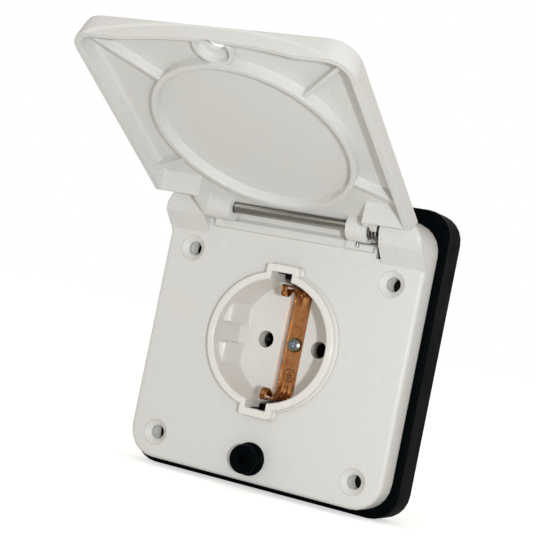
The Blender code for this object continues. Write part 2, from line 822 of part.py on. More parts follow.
def strap_path():
    """One half of the earth strap in side view, from the floor's middle to the loop's end."""
    lie = GROOVE_FLOOR - GAP - STRAP_THICKNESS / 2
    bend, leg = STRAP_BEND_R, STRAP_LEG_Z
    nose = (FACE + STRAP_NOSE_DEPTH, leg - STRAP_NOSE_R)
    elbow = (FACE + STRAP_ELBOW_DEPTH, leg - STRAP_ELBOW_REACH + STRAP_ELBOW_R)
    path = [(lie, 0.0)]
    path += arc((lie - bend, leg - bend), bend, 0, 90, 7)
    path += arc(nose, STRAP_NOSE_R, 90, STRAP_NOSE_DEG, 6)
    path += arc(elbow, STRAP_ELBOW_R, STRAP_NOSE_DEG, STRAP_ELBOW_DEG, 6)
    path.append((FACE + STRAP_TIP_DEPTH, leg - STRAP_TIP_GAP))
    return path


def build_strap(copper):
    """The copper earth strap: one ribbon along the floor with a sprung loop at each end."""
    half = strap_path()
    path = [(y, -z) for y, z in reversed(half[1:])] + half
    curve = bpy.data.curves.new("earth_strap", "CURVE")
    curve.dimensions = "2D"
    curve.fill_mode = "NONE"
    curve.extrude = STRAP_WIDTH / 2
    spline = curve.splines.new("POLY")
    spline.points.add(len(path) - 1)
    for point, (y, z) in zip(spline.points, path):
        point.co = (y, z, 0.0, 1.0)
    turn = Matrix(((0, 0, 1, 0), (1, 0, 0, 0), (0, 1, 0, 0), (0, 0, 0, 1)))
    strap = curve_mesh("earth_strap", curve, turn)
    thick = strap.modifiers.new("Thickness", "SOLIDIFY")
    thick.thickness = STRAP_THICKNESS
    thick.offset = 0.0
    thick.use_even_offset = True
    bake(strap)
    cuts = []
    front = GROOVE_FLOOR - STRAP_SHOULDER
    foot = STRAP_LEG_Z - STRAP_BEND_R
    for hand in (-1, 1):
        for level in (-1, 1):
            across = sorted((hand * STRAP_TONGUE / 2, hand * STRAP_WIDTH))
            along = sorted((level * (foot - CUT / 2), level * EAR_REACH))
            cuts.append(
                box(
                    "tongue_trim",
                    (across[0], RIM - CUT, along[0]),
                    (across[1], front, along[1]),
                )
            )
    bore = EARTH_SCREW_R + GAP
    cuts.append(rod("strap_hole", bore, (0, RIM, 0), (0, CUP_BACK, 0)))
    combine(strap, cuts, "DIFFERENCE")
    return finish(strap, copper)


def cross_cuts(centre, reach, depth, towards=-1):
    """Two crossed slots for a screw head that faces along Y."""
    x, y, z = centre
    width = reach * CROSS_WIDTH / CROSS_REACH
    ends = sorted((y + towards * CUT, y - towards * depth))
    return [
        box("slot", (x - reach, ends[0], z - width / 2), (x + reach, ends[1], z + width / 2)),
        box("slot", (x - width / 2, ends[0], z - reach), (x + width / 2, ends[1], z + reach)),
    ]


def pan_screw(name, centre, head_r, head, shank_r, shank, metal, facing=-1):
    """A pan-head screw with a cross; centre is under its head, facing -1 looks forward."""
    dome = head * HEAD_DOME
    profile = [
        (0.0, head),
        (head_r * 0.6, head),
        (head_r * 0.9, head - dome),
        (head_r, dome),
        (head_r, 0.0),
        (shank_r, 0.0),
        (shank_r, -shank),
        (0.0, -shank),
    ]
    screw = turned(name, profile, centre, SCREW_ROUND, (0, facing, 0))
    top = (centre[0], centre[1] + facing * head, centre[2])
    cross = cross_cuts(top, head_r * CROSS_REACH, head * CROSS_DEPTH, facing)
    combine(screw, cross, "DIFFERENCE")
    return finish(screw, metal)


def build_knob(rubber):
    """The rubber knob that the lid's boss snaps over, with a barbed stem in the plate."""
    top = KNOB_HEIGHT
    soft = KNOB_SOFT
    edge = 1.5 * soft
    panel_back = PLATE_PANEL + GAP
    profile = [
        (0.0, top / 2),
        (KNOB_HOLE_R, top / 2),
        (KNOB_HOLE_R, top - soft / 2),
        (KNOB_HOLE_R + soft, top - soft / 2),
        (KNOB_HOLE_R + edge, top),
        (KNOB_HEAD_R - edge, top),
        (KNOB_HEAD_R - edge / 4, top - edge / 3),
        (KNOB_HEAD_R, top - edge),
        (KNOB_HEAD_R, KNOB_HEAD_UNDER + soft),
        (KNOB_WAIST_R, KNOB_HEAD_UNDER - soft / 2),
        (KNOB_WAIST_R, KNOB_FLANGE + soft),
        (KNOB_FLANGE_R - soft, KNOB_FLANGE),
        (KNOB_FLANGE_R, KNOB_FLANGE - edge / 2),
        (KNOB_FLANGE_R, GAP),
        (KNOB_STEM_R, GAP),
        (KNOB_STEM_R, -panel_back),
        (KNOB_BARB_R, -panel_back),
        (KNOB_STEM_R / 2, -panel_back - KNOB_STEM_R),
        (0.0, -panel_back - KNOB_STEM_R),
    ]
    return finish(turned("latch_knob", profile, (0, FACE, KNOB_Z), KNOB_ROUND), rubber)


def build_rod(steel):
    """The steel hinge rod through both towers and both lid knuckles."""
    end = ROD_END
    hinge_rod = rod("hinge_rod", ROD_R, (-end, AXIS_Y, AXIS_HEIGHT), (end, AXIS_Y, AXIS_HEIGHT))
    round_off = hinge_rod.modifiers.new("Ends", "BEVEL")
    round_off.width = ROD_END_ROUND
    round_off.segments = 2
    round_off.limit_method = "ANGLE"
    round_off.angle_limit = math.radians(60)
    bake(hinge_rod)
    return finish(hinge_rod, steel)


def coil_points(hand):
    """List the points of a spring's coil, from its lid end out to its fixed end."""
    count = int(SPRING_TURNS * COIL_STEPS)
    points = []
    for i in range(count + 1):
        share = i / count
        turn = 2 * math.pi * SPRING_TURNS * (1 - share)
        points.append(
            (
                hand * (SPRING_COIL_INNER + (SPRING_COIL_OUTER - SPRING_COIL_INNER) * share),
                AXIS_Y + SPRING_MEAN_R * math.cos(turn),
                AXIS_HEIGHT - SPRING_MEAN_R * math.sin(turn),
            )
        )
    return points


def build_spring(name, hand, steel):
    """A torsion spring: coils on the rod, a tail in the lid and its other end in the plate."""
    leg_y, leg_z = LEG_Y, SPRING_LEG_Z
    coil = coil_points(hand)
    x, y, z = coil[0]
    points = [(x - hand * SPRING_TAIL, y, z)] + coil
    x, y, z = coil[-1]
    corner = 2 * SPRING_WIRE_R
    if hand > 0:
        points += [
            (x, leg_y, leg_z + 2.5 * corner),
            (x, leg_y, leg_z + corner),
            (x - corner, leg_y, leg_z),
            (SPRING_HOOK_X + corner, leg_y, leg_z),
            (SPRING_HOOK_X, leg_y, leg_z - corner / 2),
            (SPRING_HOOK_X, leg_y, SPRING_HOOK_Z),
        ]
    else:
        points.append((x - SPRING_TAIL, y, z))
    return finish(wire(name, points, SPRING_WIRE_R), steel, 60.0)


def lid_shell():
    """The lid's tray: a drafted block with rounded free corners, hollowed from behind."""
    low = (-LID_HALF_WIDTH, -LID_OUTSIDE, -LID_LENGTH)
    high = (LID_HALF_WIDTH, LID_RIM, LID_HEEL)
    bm = bmesh.new()
    size = Vector(high) - Vector(low)
    middle = (Vector(high) + Vector(low)) / 2
    place = Matrix.Translation(middle) @ Matrix.Diagonal((*size, 1.0))
    bmesh.ops.create_cube(bm, size=1.0, matrix=place)
    free = [e for e in parallel_edges(bm, 1) if e.verts[0].co.z < middle.z]
    round_over(bm, free, LID_CORNER, CORNER_STEPS)
    draft = (LID_HALF_WIDTH - LID_SIDE_DRAFT) / LID_HALF_WIDTH
    for vert in bm.verts:
        if vert.co.y < middle.y:
            vert.co.x *= draft
    round_over(bm, edges_at(bm, 1, low[1]), LID_EDGE, 3)
    shell = object_from("lid", bm)

    bm = bmesh.new()
    wall = LID_WALL
    low = Vector((-LID_HALF_WIDTH + wall, -LID_OUTSIDE + LID_PANEL, -LID_LENGTH + wall))
    high = Vector((LID_HALF_WIDTH - wall, LID_RIM + CUT, LID_HEEL + CUT))
    size = high - low
    middle = (high + low) / 2
    place = Matrix.Translation(middle) @ Matrix.Diagonal((*size, 1.0))
    bmesh.ops.create_cube(bm, size=1.0, matrix=place)
    free = [e for e in parallel_edges(bm, 1) if e.verts[0].co.z < middle.z]
    round_over(bm, free, LID_CORNER - wall, CORNER_STEPS)
    round_over(bm, edges_at(bm, 1, low[1]), LID_FLOOR_FILLET, 3)
    hollow = object_from("lid_hollow", bm)
    return combine(shell, [hollow], "DIFFERENCE")


def lid_end_walls():
    """The end walls that meet the towers' ramps, each with a web beside its knuckle."""
    floor = -LID_OUTSIDE + LID_PANEL
    web = AXIS_FROM_FACE - SILL_BLOCK_HEIGHT - WEB_CLEARANCE
    web_end = -(AXIS_HEIGHT - SILL_FOOT + WEB_CLEARANCE)
    wedge = [
        (LID_RIM, -LID_END_AT_RIM - WEB_CLEARANCE),
        (floor, -LID_END_WEDGE),
        (floor - LID_PANEL / 2, -LID_END_WEDGE),
        (floor - LID_PANEL / 2, 0.0),
    ]
    full_web = [(LID_RIM, 0.0)]
    low_web = [(web, 0.0), (web, web_end), (LID_RIM, web_end - 2 * WEB_CLEARANCE)]
    walls = []
    for hand, edge in ((-1, full_web), (1, low_web)):
        ends = sorted((hand * WEDGE_INNER, hand * (LID_HALF_WIDTH - LID_WALL / 2)))
        walls.append(prism("lid_end_wall", wedge + edge, *ends))
    return walls


def lid_end_cuts():
    """Cuts that clear the towers: sloped past the knuckles, and square at the heel."""
    outside = -LID_OUTSIDE - CUT
    slope = (LID_END_AT_RIM - LID_END_AT_OUTSIDE) / (LID_RIM + LID_OUTSIDE)
    reach = LID_END_AT_OUTSIDE - slope * CUT
    deep = LID_END_AT_RIM + slope * CUT
    outline = [
        (outside, -reach),
        (LID_RIM + CUT, -deep),
        (LID_RIM + CUT, LID_HEEL + 2 * CUT),
        (outside, LID_HEEL + 2 * CUT),
    ]
    cuts = []
    for hand in (-1, 1):
        ends = sorted((hand * KNUCKLE_OUTER_LEFT, hand * (LID_HALF_WIDTH + CUT)))
        cuts.append(prism("lid_end_cut", outline, *ends))
    return cuts


def lid_ring():
    """The round wall inside the lid that surrounds the plug well."""
    floor = LID_OUTSIDE - LID_PANEL
    top = floor - LID_RING_HEIGHT
    inner = LID_RING_R - LID_RING_WALL
    root = LID_OUTSIDE - LID_PANEL / 2
    profile = [(LID_RING_R, root), (LID_RING_R, top), (inner, top), (inner, root)]
    ring = turned("lid_ring", profile, (0, 0, -AXIS_HEIGHT))
    return ring


def lid_ribs():
    """Four thin ribs that run straight out from the ring to the lid's walls."""
    floor = -LID_OUTSIDE + LID_PANEL
    start = LID_RING_R - LID_RING_WALL / 2
    side = LID_HALF_WIDTH - LID_WALL
    up_span = side / math.cos(math.radians(LID_RIB_UP_DEG))
    far = (LID_LENGTH - LID_WALL - AXIS_HEIGHT) / math.sin(math.radians(LID_RIB_UP_DEG))
    down_span = side / math.cos(math.radians(LID_RIB_DOWN_DEG)) + LID_WALL / 2
    ribs = []
    for span, angle in (
        (min(up_span, far) - LID_CORNER * 0.3, LID_RIB_UP_DEG),
        (down_span, LID_RIB_DOWN_DEG),
    ):
        for heading in (angle, 180 - angle):
            bm = bmesh.new()
            size = (span - start, LID_RIB_HEIGHT + LID_PANEL / 2, LID_RIB)
            middle = ((span + start) / 2, floor + (LID_RIB_HEIGHT - LID_PANEL / 2) / 2, 0)
            turn = Matrix.Rotation(math.radians(heading), 4, "Y")
            place = (
                Matrix.Translation((0, 0, -AXIS_HEIGHT))
                @ turn
                @ Matrix.Translation(middle)
                @ Matrix.Diagonal((*size, 1.0))
            )
            bmesh.ops.create_cube(bm, size=1.0, matrix=place)
            ribs.append(object_from("lid_rib", bm))
    return ribs


def lid_knuckles():
    """The two barrels that run on the hinge rod."""
    return [
        rod("knuckle", KNUCKLE_R, (-KNUCKLE_OUTER_LEFT, 0, 0), (-KNUCKLE_INNER, 0, 0), LID_ROUND),
        rod("knuckle", KNUCKLE_R, (KNUCKLE_INNER, 0, 0), (KNUCKLE_OUTER_RIGHT, 0, 0), LID_ROUND),
    ]


def lid_scoop():
    """A cone that cuts the finger scoop across the lid's free end."""
    radius = (SCOOP_HALF_LENGTH**2 + SCOOP_DEPTH**2) / (2 * SCOOP_DEPTH)
    inner_wall = -LID_LENGTH + LID_WALL
    centre = LID_RIM - SCOOP_DEPTH + radius
    reach = CUT + LID_WALL
    flare = reach * math.tan(math.radians(SCOOP_DEG))
    profile = [
        (0.0, reach),
        (radius + flare, reach),
        (radius - flare, -reach),
        (0.0, -reach),
    ]
    return turned("scoop", profile, (0, centre, inner_wall), SCOOP_ROUND, (0, 0, -1))


def build_lid(plastic, hinge):
    """The lid, modelled shut about the hinge axis and turned open by its parent."""
    lid = lid_shell()
    walls = lid_end_walls()
    boss_z = KNOB_Z - AXIS_HEIGHT
    floor = LID_OUTSIDE - LID_PANEL
    lip = -floor + BOSS_LIP
    start = (0, -floor - LID_PANEL / 2, boss_z)
    boss = rod("boss", BOSS_R, start, (0, lip, boss_z), LID_ROUND)
    combine(lid, walls + [lid_ring()] + lid_ribs() + [boss] + lid_knuckles(), "UNION")

    cuts = lid_end_cuts()
    end = (0, LID_RIM + CUT, boss_z)
    cuts.append(rod("boss_bore", BOSS_BORE_R, (0, -floor, boss_z), end, LID_ROUND))
    cuts.append(rod("boss_hole", BOSS_HOLE_R, (0, -LID_OUTSIDE - CUT, boss_z), (0, 0, boss_z)))
    reach = LID_HALF_WIDTH + CUT
    cuts.append(rod("rod_hole", ROD_R + GAP, (-reach, 0, 0), (reach, 0, 0)))
    shut = Matrix.Rotation(math.radians(LID_OPEN_DEG), 3, "X")
    for hand in (-1, 1):
        start = (hand * (SPRING_COIL_INNER - SPRING_ROOM), 0, 0)
        cuts.append(rod("spring_bore", SPRING_BORE_R, start, (hand * reach, 0, 0)))
        x, y, z = coil_points(hand)[0]
        tail = shut @ Vector((x, y - AXIS_Y, z - AXIS_HEIGHT))
        end = tail - Vector((hand * (SPRING_TAIL + GAP), 0, 0))
        cuts.append(rod("tail_hole", SPRING_ROOM, tail, end))
    cuts.append(lid_scoop())
    combine(lid, cuts, "DIFFERENCE")
    finish(lid, plastic)
    lid.parent = hinge
    return lid


def build_carrier(insulation):
    """The moulded disc behind the well that holds the contacts and terminals."""
    back = CARRIER_BACK
    carrier = rod("contact_carrier", CARRIER_R, (0, CARRIER_FRONT, 0), (0, back, 0), REAR_ROUND)
    cuts = []
    for hand in (-1, 1):
        x = hand * PIN_PITCH / 2
        pocket_end = CARRIER_FRONT + CONTACT_DEPTH + GAP
        start = (x, CARRIER_FRONT - CUT, 0)
        cuts.append(rod("contact_pocket", CONTACT_R + GAP, start, (x, pocket_end, 0)))
        cuts.append(
            rod("screw_way", TERMINAL_SCREW_R + GAP, (x, CARRIER_FRONT, 0), (x, back + CUT, 0))
        )
    half = EARTH_BLOCK / 2 + GAP
    narrow = EARTH_BLOCK_NARROW * EARTH_BLOCK / 2 + GAP
    cuts.append(
        box(
            "earth_pocket",
            (-narrow, CARRIER_FRONT - CUT, -half),
            (narrow, CARRIER_FRONT + EARTH_BLOCK + GAP, half),
        )
    )
    cuts.append(
        rod("earth_screw_way", TERMINAL_SCREW_R + GAP, (0, CARRIER_FRONT, 0), (0, back + CUT, 0))
    )
    hole = COVER_SCREW_R + GAP
    for level in (-1, 1):
        z = level * CARRIER_SCREW_Z
        cuts.append(rod("fixing_hole", hole, (0, CARRIER_FRONT - CUT, z), (0, back + CUT, z)))
    for hand in (-1, 1):
        x = hand * COVER_SCREW_X
        cuts.append(rod("cover_thread", hole, (x, back - COVER_THREAD, 0), (x, back + CUT, 0)))
    combine(carrier, cuts, "DIFFERENCE")
    return finish(carrier, insulation)


def build_contact(name, x, brass):
    """A slit brass sleeve that grips one plug pin."""
    front = -(CARRIER_FRONT + CONTACT_SET_BACK)
    back = -(CARRIER_FRONT + CONTACT_DEPTH)
    thread = TERMINAL_SCREW_R + GAP
    profile = [
        (CONTACT_BORE_R, front),
        (CONTACT_R, front),
        (CONTACT_R, back),
        (thread, back),
        (thread, back + CONTACT_BASE),
        (CONTACT_BORE_R, back + CONTACT_BASE),
    ]
    sleeve = turned(name, profile, (x, 0, 0), SMALL_ROUND)
    slit = box(
        "slit",
        (x - CONTACT_R - CUT, CARRIER_FRONT - CUT, -CONTACT_SLIT / 2),
        (x + CONTACT_R + CUT, CARRIER_FRONT + CONTACT_DEPTH * 0.6, CONTACT_SLIT / 2),
    )
    combine(sleeve, [slit], "DIFFERENCE")
    return finish(sleeve, brass)


def build_earth_block(brass):
    """The brass block behind the well that the strap's screw pulls against."""
    half = EARTH_BLOCK / 2
    narrow = EARTH_BLOCK_NARROW * half
    front = CARRIER_FRONT + GAP
    block = rounded_box(
        "earth_terminal",
        (-narrow, front, -half),
        (narrow, CARRIER_FRONT + EARTH_BLOCK, half),
        half / 7,
        steps=2,
    )
    bore = rod("bore", TERMINAL_SCREW_R + GAP, (0, front - CUT, 0), (0, CARRIER_BACK, 0))
    return finish(combine(block, [bore], "DIFFERENCE"), brass)


def build_rear_cover(insulation):
    """The pot that closes the wiring space behind the wall."""
    front = -(CUP_BACK + GAP)
    back = -COVER_BACK
    inner = COVER_R - COVER_WALL
    edge = arc((COVER_R - COVER_EDGE, back + COVER_EDGE), COVER_EDGE, 0, -90, 4)
    profile = (
        [(0.0, back + COVER_WALL), (inner, back + COVER_WALL), (inner, front), (COVER_R, front)]
        + edge
        + [(0.0, back)]
    )
    cover = turned("rear_cover", profile, (0, 0, 0), REAR_ROUND)
    posts = []
    for hand in (-1, 1):
        x = hand * COVER_SCREW_X
        start = CARRIER_BACK + GAP
        end = COVER_BACK - COVER_WALL / 2
        posts.append(rod("post", COVER_SCREW_HEAD_R, (x, start, 0), (x, end, 0)))
    combine(cover, posts, "UNION")
    cuts = []
    for hand in (-1, 1):
        x = hand * COVER_SCREW_X
        end = COVER_BACK + CUT
        cuts.append(rod("screw_way", COVER_SCREW_R + GAP, (x, 0, 0), (x, end, 0)))
    hole, z = GROMMET_NECK_R + GAP, -GROMMET_BELOW
    cuts.append(rod("grommet_hole", hole, (0, CARRIER_BACK, z), (0, end, z)))
    combine(cover, cuts, "DIFFERENCE")
    return finish(cover, insulation)


def build_grommet(rubber):
    """The rubber cable grommet in the rear cover, which a cable would pass through."""
    back = COVER_BACK
    lip = GROMMET_LIP
    inside = back - COVER_WALL - GAP
    outside = back + GAP
    profile = [
        (GROMMET_BORE_R, -inside + lip),
        (GROMMET_NECK_R, -inside + lip),
        (GROMMET_R, -inside + lip / 2),
        (GROMMET_R, -inside),
        (GROMMET_NECK_R, -inside),
        (GROMMET_NECK_R, -outside),
        (GROMMET_R, -outside),
        (GROMMET_R, -outside - lip / 2),
        (GROMMET_NECK_R, -outside - lip * 2),
        (GROMMET_BORE_R, -outside - lip * 2),
    ]
    place = (0, 0, -GROMMET_BELOW)
    return finish(turned("cable_grommet", profile, place, SCREW_ROUND), rubber)


def build_screws(steel):
    """The strap's screw, the terminal screws, and those of the carrier and rear cover."""
    strap_top = GROOVE_FLOOR - GAP - STRAP_THICKNESS - GAP
    reach = CARRIER_FRONT + EARTH_SCREW_BITE - strap_top
    pan_screw(
        "earth_screw",
        (0, strap_top, 0),
        EARTH_SCREW_HEAD_R,
        EARTH_SCREW_HEAD,
        EARTH_SCREW_R,
        reach,
        steel,
    )
    seat = CARRIER_BACK + GAP
    in_sleeve = seat - CARRIER_FRONT - CONTACT_DEPTH + TERMINAL_BITE
    in_block = seat - CARRIER_FRONT - EARTH_BLOCK + EARTH_TERMINAL_BITE
    for name, x, length in (
        ("live_terminal_screw", -PIN_PITCH / 2, in_sleeve),
        ("neutral_terminal_screw", PIN_PITCH / 2, in_sleeve),
        ("earth_terminal_screw", 0.0, in_block),
    ):
        pan_screw(
            name,
            (x, seat, 0),
            TERMINAL_HEAD_R,
            TERMINAL_HEAD,
            TERMINAL_SCREW_R,
            length,
            steel,
            facing=1,
        )
    for name, level in (("carrier_screw_lower", -1), ("carrier_screw_upper", 1)):
        pan_screw(
            name,
            (0, seat, level * CARRIER_SCREW_Z),
            COVER_SCREW_HEAD_R,
            COVER_SCREW_HEAD,
            COVER_SCREW_R,
            seat - CUP_BACK + THREAD_DEPTH - GAP,
            steel,
            facing=1,
        )
    for name, hand in (("cover_screw_left", -1), ("cover_screw_right", 1)):
        pan_screw(
            name,
            (hand * COVER_SCREW_X, COVER_BACK + GAP, 0),
            COVER_SCREW_HEAD_R,
            COVER_SCREW_HEAD,
            COVER_SCREW_R,
            COVER_BACK + GAP - CARRIER_BACK + COVER_SCREW_BITE,
            steel,
            facing=1,
        )


def build():
    """Build every piece of the socket."""
    clear_scene()
    white = material("white_plastic", (0.71, 0.70, 0.66), 0.35)
    black = material("black_rubber", (0.012, 0.014, 0.016), 0.55)
    copper = material("copper_alloy", (0.55, 0.24, 0.10), 0.30, 1.0)
    steel = material("steel", (0.45, 0.44, 0.42), 0.30, 1.0)
    brass = material("brass", (0.60, 0.42, 0.14), 0.32, 1.0)
    grey = material("grey_insulation", (0.10, 0.10, 0.11), 0.55)

    build_gasket(black)
    build_plate(white)
    build_cup(white)
    build_strap(copper)
    build_knob(black)
    build_rod(steel)
    build_spring("hinge_spring_left", -1, steel)
    build_spring("hinge_spring_right", 1, steel)
    build_carrier(grey)
    build_contact("live_contact", -PIN_PITCH / 2, brass)
    build_contact("neutral_contact", PIN_PITCH / 2, brass)
    build_earth_block(brass)
    build_rear_cover(grey)
    build_grommet(black)
    build_screws(steel)

    hinge = bpy.data.objects.new("lid_hinge", None)
    PARTS.objects.link(hinge)
    hinge.location = (0, AXIS_Y, AXIS_HEIGHT)
    hinge.rotation_euler = (math.radians(-LID_OPEN_DEG), 0, 0)
    build_lid(white, hinge)


build()
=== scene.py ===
"""A caravan's outdoor socket with its lid open: finishes, camera and studio light."""

import math

import bmesh
import bpy
from mathutils import Matrix, Vector


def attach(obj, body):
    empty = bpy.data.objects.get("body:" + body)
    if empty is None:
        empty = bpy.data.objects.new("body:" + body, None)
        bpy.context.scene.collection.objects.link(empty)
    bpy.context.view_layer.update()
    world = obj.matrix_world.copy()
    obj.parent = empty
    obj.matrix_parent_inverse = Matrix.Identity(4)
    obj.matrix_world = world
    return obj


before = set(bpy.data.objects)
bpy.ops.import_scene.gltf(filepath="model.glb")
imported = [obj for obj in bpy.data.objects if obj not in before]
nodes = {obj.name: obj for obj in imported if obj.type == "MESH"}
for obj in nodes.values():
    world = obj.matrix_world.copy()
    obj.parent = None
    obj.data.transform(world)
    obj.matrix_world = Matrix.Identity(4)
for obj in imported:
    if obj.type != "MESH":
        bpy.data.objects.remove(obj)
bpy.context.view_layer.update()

# Where the pieces lie, in metres and radians, in the part's own frame
FACE = -0.0197
WELL_FLOOR = -0.0059
HINGE_Y = -0.02443
HINGE_Z = 0.0390
LID_OPEN = math.radians(118.4)
RING_FROM_HINGE = 0.0390
RING_INNER = 0.0303
LID_RIM = 0.0044
KNOB_ALONG = 0.0762
KNOB_BORE = 0.0050
SCOOP_START = 0.0800
SCOOP_DEEP = 0.0032
SCOOP_SLOPE = 1.753
SCOOP_BEND = 0.231
LIP_INNER = 0.0801
LIP_OUTER = 0.08165
LIP_DIP = 0.0022
LIP_HALF = 0.0270
LIP_END = 0.0370
LIP_CUTS = 147
LIP_SUNK = 0.00025
LIP_THIN = 0.0001
LIP_UNDER_RIM = 0.00002
MARK_Z = -0.0100
MARK_R = 0.0021
STRAP_BEND = 0.0150
PIN_X = 0.0095
PIN_BORE = 0.00285
SCREW_X = 0.0350
SCREW_LOW_Z = -0.03625
SCREW_HIGH_Z = 0.02425
SCREW_BORE = 0.0023
SCREW_SINK = 0.0041
SCREW_WHITE_END = -0.0119
FLOOR_RING = 0.0138
FLOOR_Z = -0.0470

# How curves are smoothed, and the studio
WELD_GAP = 0.000002
SHARP_ANGLE = math.radians(25.0)
FLOOR_HALF = 6.0
FLOOR_GLOW = 0.55
FILL_COLOUR = (1.0, 0.95, 0.895, 1.0)
FILL_STRENGTH = 0.66
KEY_COLOUR = (0.89, 0.95, 1.0)
KEY_WATTS = 1.40
KEY_SIZE = 0.02
KEY_AWAY = 0.55
KEY_AZIMUTH = math.radians(34.0)
KEY_HEIGHT = math.radians(1.0)
WHITE = (1.0, 1.0, 1.0, 1.0)
LENS = 94.39835583928907


class Value:
    """A number or vector that a finish works out over the surface."""

    def __init__(self, finish, socket):
        self.finish = finish
        self.socket = socket

    def sum_up(self, operation, *terms):
        node = self.finish.tree.nodes.new("ShaderNodeMath")
        node.operation = operation
        for port, term in zip(node.inputs, terms):
            self.finish.feed(port, term)
        return Value(self.finish, node.outputs[0])

    def __add__(self, other):
        return self.sum_up("ADD", self, other)

    def __radd__(self, other):
        return self.sum_up("ADD", other, self)

    def __sub__(self, other):
        return self.sum_up("SUBTRACT", self, other)

    def __rsub__(self, other):
        return self.sum_up("SUBTRACT", other, self)

    def __mul__(self, other):
        return self.sum_up("MULTIPLY", self, other)

    def __rmul__(self, other):
        return self.sum_up("MULTIPLY", other, self)

    def size(self):
        return self.sum_up("ABSOLUTE", self)

    def root(self):
        return self.sum_up("SQRT", self)

    def least(self, other):
        return self.sum_up("MINIMUM", self, other)

    def most(self, other):
        return self.sum_up("MAXIMUM", self, other)


class Finish:
    """A material and the handful of ways in which its nodes are added."""

    def __init__(self, name, constants):
        self.material = bpy.data.materials.new(name)
        self.material.use_nodes = True
        self.tree = self.material.node_tree
        self.shader = self.tree.nodes["Principled BSDF"]
        for socket, value in constants.items():
            self.shader.inputs[socket].default_value = value

    def feed(self, port, term):
        if isinstance(term, Value):
            self.tree.links.new(term.socket, port)
        else:
            port.default_value = term

    def node(self, kind, settings=None, terms=None, out=0):
        """Add one node: its settings first, then the values or links of its sockets."""
        made = self.tree.nodes.new("ShaderNode" + kind)
        for setting, value in (settings or {}).items():
            setattr(made, setting, value)
        for port, term in (terms or {}).items():
            self.feed(made.inputs[port], term)
        return Value(self, made.outputs[out])

    def place(self, stretch=(1.0, 1.0, 1.0), turn=(0.0, 0.0, 0.0), shift=(0.0, 0.0, 0.0)):
        """Where a point lies on its piece, shifted, turned and stretched."""
        spot = self.node("TexCoord", out="Object")
        mapping = {"Vector": spot, "Location": shift, "Rotation": turn, "Scale": stretch}
        return self.node("Mapping", {"vector_type": "POINT"}, mapping)

    def axes(self, spot):
        """The three numbers of a place."""
        return [self.node("SeparateXYZ", terms={"Vector": spot}, out=i) for i in range(3)]

    def noise(self, spot, scale, detail=2.0, rough=0.5, warp=0.0):
        """Soft random values, about a half on average."""
        terms = {
            "Vector": spot,
            "Scale": scale,
            "Detail": detail,
            "Roughness": rough,
            "Distortion": warp,
        }
        return self.node("TexNoise", terms=terms)

    def ease(self, value, low, high, start=0.0, end=1.0):
        """Map a value from one range to another, with soft ends."""
        terms = {"Value": value, 1: low, 2: high, 3: start, 4: end}
        return self.node("MapRange", {"interpolation_type": "SMOOTHSTEP"}, terms)

    def blend(self, share, first, second):
        """Mix two colours."""
        terms = {0: share, 6: first, 7: second}
        return self.node("Mix", {"data_type": "RGBA", "clamp_factor": True}, terms, out=2)

    def soft_corners(self, radius):
        """The surface's direction as if its sharp corners were a little round."""
        return self.node("Bevel", {"samples": 6}, {"Radius": radius})

    def corner_share(self, softened):
        """How near a corner a point lies: 0 on a flat, towards 1 on an edge."""
        plain = self.node("NewGeometry", out="Normal")
        terms = {0: softened, 1: plain}
        close = self.node("VectorMath", {"operation": "DOT_PRODUCT"}, terms, out="Value")
        return self.ease(1.0 - close, 0.01, 0.30)

    def relief(self, height, depth, strength, normal=None):
        """Turn a height into a slight relief."""
        terms = {"Height": height, "Distance": depth, "Strength": strength}
        if normal:
            terms["Normal"] = normal
        return self.node("Bump", terms=terms)

    def set(self, socket, value):
        self.feed(self.shader.inputs[socket], value)


def rgba(red, green, blue):
    """A colour as a screen shows it, from 0 to 255, made linear."""
    def linear(level):
        share = level / 255
        return share / 12.92 if share <= 0.04045 else ((share + 0.055) / 1.055) ** 2.4

    return (linear(red), linear(green), linear(blue), 1.0)


def moulded_white(name, gloss, grain, tones, soft, pale, matte=None, step=None, dark_lines=None):
    """Off-white moulded plastic with a fine grain, faint flow marks and corners painted paler as
    highlights.

    The last three are masks, if given: duller parts, a raised part and thin darker lines.
    """
    look = Finish(name, {"IOR": 1.49, "Specular IOR Level": 0.42})
    spot = look.place()
    cloud = look.noise(spot, 38.0, 3.0, 0.55)
    flow = look.noise(look.place((1.0, 1.0, 0.25)), 160.0, 2.0, 0.5, 0.8)
    dust = look.ease(look.noise(spot, 900.0, 3.0, 0.7), 0.64, 0.80)
    fine = look.noise(spot, 3200.0, 2.0, 0.6)
    corners = look.soft_corners(soft)
    edge_glint_and_wear = look.corner_share(corners)

    colour = look.blend(look.ease(cloud, 0.20, 0.80), *tones)
    colour = look.blend(look.ease(flow, 0.40, 0.90) * 0.20, colour, rgba(222, 220, 214))
    colour = look.blend(dust * 0.08, colour, rgba(170, 160, 140))
    colour = look.blend(look.ease(fine, 0.35, 0.65) * 0.30, colour, rgba(206, 204, 199))
    # painted highlight: corners turn paler, standing in for glints on the edges
    colour = look.blend(edge_glint_and_wear * 0.9, colour, pale)
    if dark_lines:
        colour = look.blend(dark_lines(look) * 0.6, colour, rgba(176, 166, 148))
    look.set("Base Color", colour)

    sheen = look.ease(cloud, 0.3, 0.7, gloss - 0.04, gloss + 0.05) + dust * 0.12
    height = fine * grain
    if matte:
        share = matte(look)
        sheen = sheen + share * (0.62 - gloss)
        height = height + fine * share * 1.2
    if step:
        height = height + step(look) * 6.0
    look.set("Roughness", sheen)
    look.set("Normal", look.relief(height, 0.00003, 0.5, corners))
    return look.material


